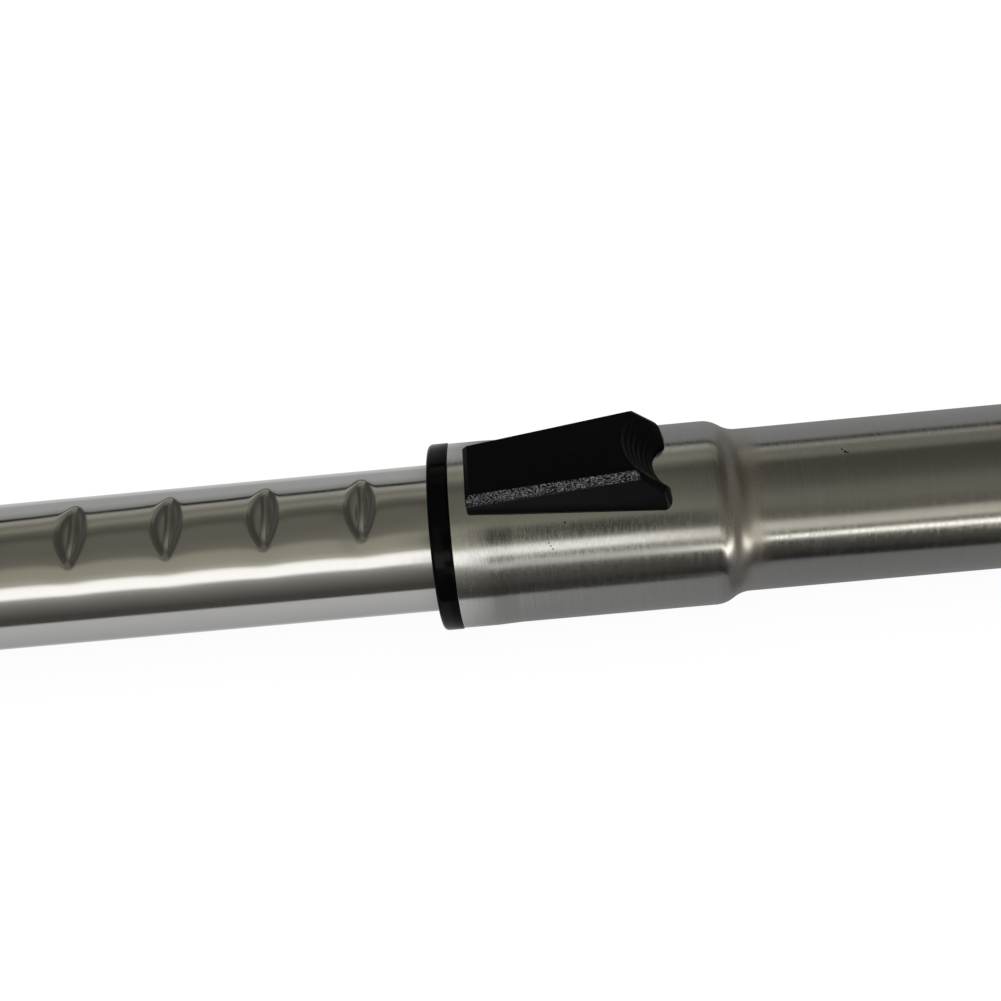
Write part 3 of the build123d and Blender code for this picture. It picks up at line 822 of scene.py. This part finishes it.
def hairline_form(p):
    """Thin block that cuts one slanted hairline into the sloping top."""
    size = Matrix.Diagonal((HAIRLINE_LENGTH / 2, 0.15, 0.30, 1.0))
    lean = Matrix.Rotation(-math.atan(BUTTON_SLOPE), 4, "Y")
    turned = Matrix.Rotation(math.radians(HAIRLINE_TURN), 4, "Z")
    middle = Matrix.Translation((MOUTH + p, HAIRLINE_Y, top_height(p) + 0.13))
    place = middle @ lean @ turned @ size
    corners = [(-1, -0.4, -1), (1, -0.4, -1), (1, 0.4, -1), (-1, 0.4, -1),
               (-1, -1, 1), (1, -1, 1), (1, 1, 1), (-1, 1, 1)]
    points = [tuple(place @ Vector(c)) for c in corners]
    faces = [(3, 2, 1, 0), (4, 5, 6, 7), (0, 1, 5, 4), (1, 2, 6, 5), (2, 3, 7, 6), (3, 0, 4, 7)]
    return mesh_object("groove_form", points, faces)


def underside_form():
    """Round bar on the wand's axis that hollows the button's underside."""
    r = BUTTON_UNDERSIDE_R
    turns = [2 * math.pi * k / 128 for k in range(128)]
    return stacked("under", [[(MOUTH + p, r * math.sin(t), r * math.cos(t)) for t in turns]
                             for p in (-3, 60)])


button = wedge("slider_button_black", BUTTON_FRONT, BUTTON_REAR)
slice_off(button, (MOUTH + 4.85, 0, top_height(4.85)), (-0.85, 0, 0.53))
for sign in (-1, 1):
    slice_off(button, (MOUTH + 4.15, sign * 6.9, 20.0), (-0.707, sign * 0.707, 0.0))
cut(button, [rear_form()], "INTERSECT")
cut(button, [scoop_form()])
hollow = wedge("hollow", 5.0, 44.0, BUTTON_WALL)
cut(hollow, [scoop_form(1.6, ribs=False)])
cut(button, [hollow])
for p in (22.3, 30.5):
    cut(button, [prism("boss", circle(MOUTH + p, 1.7), 23.5, 23.5 + 0.165 * p),
                 prism("stake", circle(MOUTH + p, 0.95), 22.7, 24.0)], "UNION")
cut(button, [underside_form()])
cut(button, [hairline_form(p) for p in HAIRLINES], sharp=28.0)
dress(button, button_black)
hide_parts("slider_button")
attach(button, "slider")


# Floor, light and camera

def angle_stops(values):
    """Ramp stops from (degrees from straight up towards the back, brightness, warmth)."""
    return [((a + 180.0) / 360.0, (v, v * (1 - 0.05 * w), v * (1 - 0.23 * w)))
            for a, v, w in values]


# The studio round the wand, as strip lights and dark cards along it. Each table holds for its
# own range of directions along X: inner tube, expanded end and outer tube, and then beyond
NEAR_BANDS = [
    (-180, 0.42, 0), (-129, 0.58, 0), (-118, 0.6, 0), (-115.5, 0.065, 0.6), (-104, 0.075, 0.6),
    (-97, 0.11, 0.6), (-88, 0.17, 0.6), (-79, 0.26, 0.6), (-71, 0.42, 0.5), (-66.5, 1.55, 0.1),
    (-53, 1.5, 0.3), (-48.5, 0.55, 0.8), (-39, 0.4, 1), (-24, 0.36, 1), (-16, 0.19, 1),
    (0, 0.155, 1), (18, 0.155, 1), (27, 0.1, 1), (35, 0.14, 1), (43, 0.29, 1), (51, 0.22, 1),
    (60, 0.42, 0.7), (63.5, 0.36, 0.5), (65, 0.02, 0), (69.5, 0.02, 0), (71.5, 0.3, 0),
    (84, 0.44, 0), (108, 0.44, 0), (118, 0.6, 0), (150, 0.7, 0), (180, 0.42, 0),
]
FAR_BANDS = [
    (-180, 0.24, 0), (-129, 0.25, 0), (-118, 0.26, 0), (-115.5, 0.03, 0.5), (-104, 0.04, 0.6),
    (-97, 0.065, 0.6), (-86, 0.085, 0.8), (-79, 0.14, 0.8), (-75, 0.55, 0.35),
    (-70, 0.62, 0.35), (-66, 0.22, 0.8), (-62, 0.3, 0.8), (-58.5, 1.3, 0.4), (-51, 1.15, 0.4),
    (-46.5, 0.16, 1), (-39, 0.065, 1), (-30, 0.07, 1), (-24, 0.24, 1), (-14, 0.21, 1),
    (0, 0.17, 1), (18, 0.13, 1), (27, 0.09, 1), (35, 0.16, 1), (43, 0.3, 1), (51, 0.21, 1),
    (60, 0.5, 0.7), (63.5, 0.38, 0.5), (65, 0.03, 0), (69.5, 0.03, 0), (72, 0.25, 0),
    (110, 0.27, 0), (180, 0.24, 0),
]
OUTER_BANDS = [
    (-180, 0.22, 0), (-118, 0.2, 0), (-115.5, 0.02, 0.5), (-108, 0.025, 0.6), (-98, 0.06, 0.8),
    (-86, 0.09, 0.8), (-81.5, 0.16, 0.8), (-79, 1.9, 0.5), (-75.5, 1.9, 0.5), (-73, 0.18, 0.8),
    (-69, 0.16, 0.8), (-64, 0.7, 0.8), (-55, 0.55, 0.8), (-49, 0.13, 1), (-40, 0.15, 1),
    (-30, 0.185, 1), (-15, 0.165, 1), (0, 0.1, 1), (20, 0.075, 1), (34, 0.07, 1), (40, 0.19, 1),
    (46, 0.2, 1), (53, 0.17, 1), (58, 0.36, 0.7), (62, 0.3, 0.6), (64.5, 0.05, 0.3),
    (70, 0.05, 0.3), (73, 0.25, 0), (110, 0.27, 0), (180, 0.22, 0),
]
# Beyond the ends of the strip lights the room is plainer
RIGHT_BANDS = [
    (-180, 0.12, 0), (-120, 0.12, 0), (-112, 0.08, 0.3), (-100, 0.09, 0.4), (-95, 0.15, 0.5),
    (-91, 0.6, 0.5), (-88, 3.6, 0.6), (-82, 3.4, 0.6), (-77, 0.5, 0.7), (-70, 0.17, 0.8),
    (-40, 0.14, 0.9), (0, 0.085, 1), (25, 0.06, 1), (42, 0.065, 1), (56, 0.13, 0.8),
    (66, 0.1, 0.3), (76, 0.16, 0), (118, 0.2, 0), (180, 0.14, 0),
]
LEFT_BANDS = [
    (-180, 0.16, 0), (-120, 0.18, 0), (-110, 0.07, 0.3), (-90, 0.08, 0.5), (-78, 0.2, 0.5),
    (-66, 0.6, 0.4), (-54, 0.45, 0.4), (-42, 0.15, 0.8), (0, 0.08, 0.8), (30, 0.07, 0.8),
    (55, 0.1, 0.8), (67, 0.06, 0.5), (80, 0.1, 0.3), (118, 0.16, 0), (180, 0.16, 0),
]
END_TONE = (0.150, 0.146, 0.128)


def build_world():
    """Bands for the metal to show, even light for matt surfaces, and white for the camera."""
    w = Nodes("studio", world=True)
    direction = w.axes(w.add("TexCoord").outputs["Generated"])
    along = direction["X"]
    angle = w.math("ARCTAN2", direction["Y"], direction["Z"])

    def bands(values, turned):
        place = w.spread(turned, -math.pi, math.pi, 0.0, 1.0)
        return w.ramp(place, angle_stops(values))

    # On the outer tube the bright line slants a little, so its lights drift along X
    drift = w.math("MULTIPLY", w.math("SUBTRACT", along, 0.29), 0.80)
    drift = w.math("MULTIPLY", drift, w.spread(angle, -1.55, -1.05, 1.0, 0.0))
    colour = bands(NEAR_BANDS, angle)
    for start, end, beyond in (
        (-0.10, -0.05, bands(FAR_BANDS, angle)),
        (0.11, 0.15, bands(OUTER_BANDS, w.math("ADD", angle, drift))),
        (0.36, 0.50, bands(RIGHT_BANDS, angle)),
        (-0.43, -0.58, bands(LEFT_BANDS, angle)),
        (0.70, 0.86, END_TONE),
    ):
        colour = w.blend(w.spread(along, start, end, 0.0, 1.0), colour, beyond)

    studio = w.add("Background")
    w.link(colour, studio.inputs["Color"])
    plain = w.add("Background", Color=(1, 1, 1, 1), Strength=0.9)
    white = w.add("Background", Color=(1, 1, 1, 1), Strength=1.0)
    path = w.add("LightPath").outputs
    lit = w.shader_blend(path["Is Diffuse Ray"], studio.outputs[0], plain.outputs[0])
    seen = w.shader_blend(path["Is Camera Ray"], lit, white.outputs[0])
    out = w.add("OutputWorld")
    w.link(seen, out.inputs[0])
    w.owner.cycles.sampling_method = "NONE"
    return w.owner


FLOOR_HALF = 4000.0


def build_floor():
    """Pale floor that keeps the wand's shadow; in the metal, the studio's bands stand for it."""
    corners = [(-1, -1), (1, -1), (1, 1), (-1, 1)]
    floor = mesh_object("floor", [(x * FLOOR_HALF, y * FLOOR_HALF, 0) for x, y in corners],
                        [(0, 1, 2, 3)])
    floor.location = (-0.4, 0, -FLANGE_R * MM - 0.00002)
    n = Nodes("floor_pale")
    grain = n.noise((40, 40, 40), detail=3)
    shade = n.add("BsdfDiffuse")
    n.link(n.ramp(grain, [(0.3, 0.109), (0.7, 0.111)]), shade.inputs["Color"])
    glow = n.add("Emission", Color=(1, 1, 1, 1), Strength=0.930)
    seen = n.add("AddShader")
    n.link(shade.outputs[0], seen.inputs[0])
    n.link(glow.outputs[0], seen.inputs[1])
    plain = n.add("BsdfDiffuse", Color=(0.8, 0.8, 0.8, 1))
    path = n.add("LightPath").outputs
    rays = n.math("MAXIMUM", path["Is Camera Ray"],
                  n.math("MAXIMUM", path["Is Glossy Ray"], path["Is Transmission Ray"]))
    out = n.add("OutputMaterial")
    n.link(n.shader_blend(rays, plain.outputs[0], seen.outputs[0]), out.inputs[0])
    dress(floor, n.owner)
    floor.visible_glossy = False


def build_camera():
    """Camera at the photo's viewpoint, close over the lock."""
    data = bpy.data.cameras.new("camera")
    data.sensor_width = 36.0
    data.lens = 49.161
    data.clip_start = 0.01
    camera = new_object("camera", data)
    right = Vector((0.99512, -0.05752, -0.08021))
    up = Vector((0.09154, 0.84179, 0.53198))
    back = Vector((0.03692, -0.53673, 0.84295))
    turn = Matrix((right, up, back)).transposed().to_4x4()
    camera.matrix_world = Matrix.Translation(Vector((-498.80, -153.66, 253.87)) * MM) @ turn
    bpy.context.scene.camera = camera


scene = bpy.context.scene
scene.world = build_world()
build_floor()
build_camera()
scene.view_settings.view_transform = "Standard"
